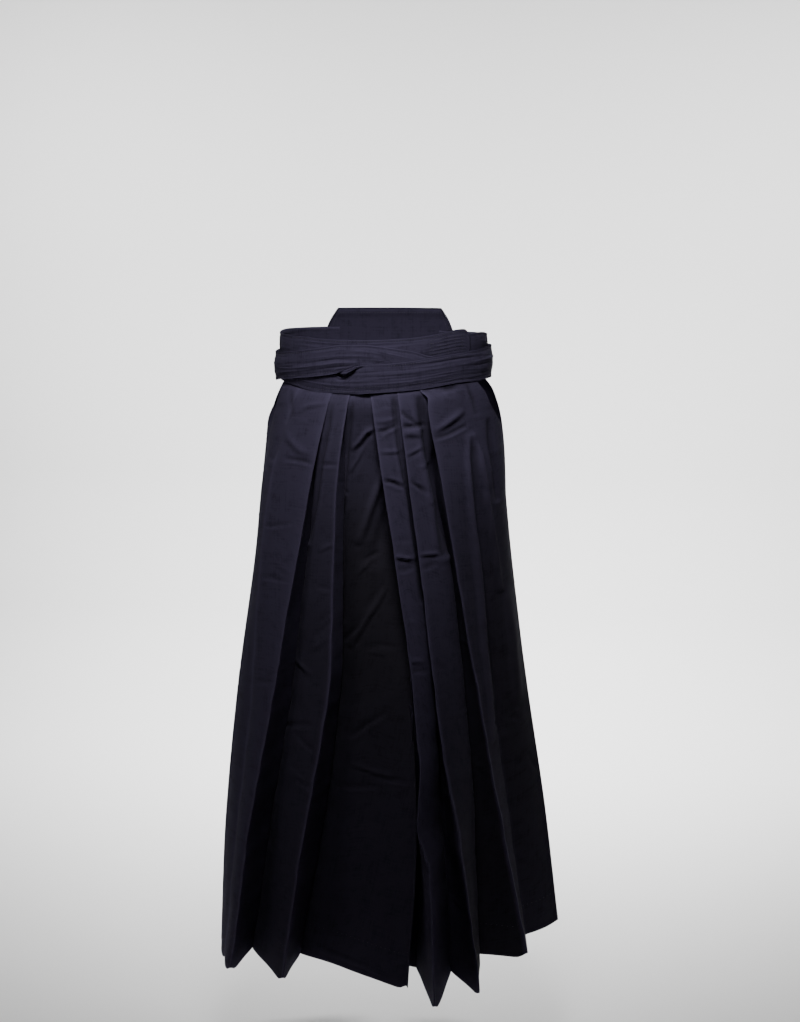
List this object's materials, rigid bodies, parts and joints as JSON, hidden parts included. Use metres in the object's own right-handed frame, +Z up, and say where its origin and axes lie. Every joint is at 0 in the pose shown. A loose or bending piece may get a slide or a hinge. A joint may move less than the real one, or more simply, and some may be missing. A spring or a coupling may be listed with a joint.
{
  "type": "hakama trousers",
  "caption": "Full pleated ankle-length divided trousers with a front band, long ties knotted at the waist and a stiff board at the back waist, in their worn hollow form.",
  "frame": {"origin": "centre of the waist oval, at the height of the middle of the ties, where the wearer's waist holds the trousers", "axes": "+Z up along the body, the front faces -Y, +X is the wearer's left"},
  "size_m": [0.5435, 0.4539, 1.037],
  "materials": {
    "skirt_cloth": "matte dark navy cotton blend with a fine twill weave",
    "band_cloth": "matte dark navy, stiffened and stitched",
    "tie_cloth": "matte dark navy, folded and stitched",
    "board_cloth": "matte dark navy over a stiff board"
  },
  "bodies": {
    "root": {"front_panel_right": "skirt_cloth", "front_panel_left": "skirt_cloth", "back_panel_right": "skirt_cloth", "back_panel_left": "skirt_cloth", "gusset_right": "skirt_cloth", "gusset_left": "skirt_cloth", "front_waistband": "band_cloth", "front_tie_right": "tie_cloth", "front_tie_left": "tie_cloth", "koshi_board": "board_cloth", "back_tie_right": "tie_cloth", "back_tie_left": "tie_cloth", "tie_twist": "tie_cloth"}
  },
  "joints": []
}
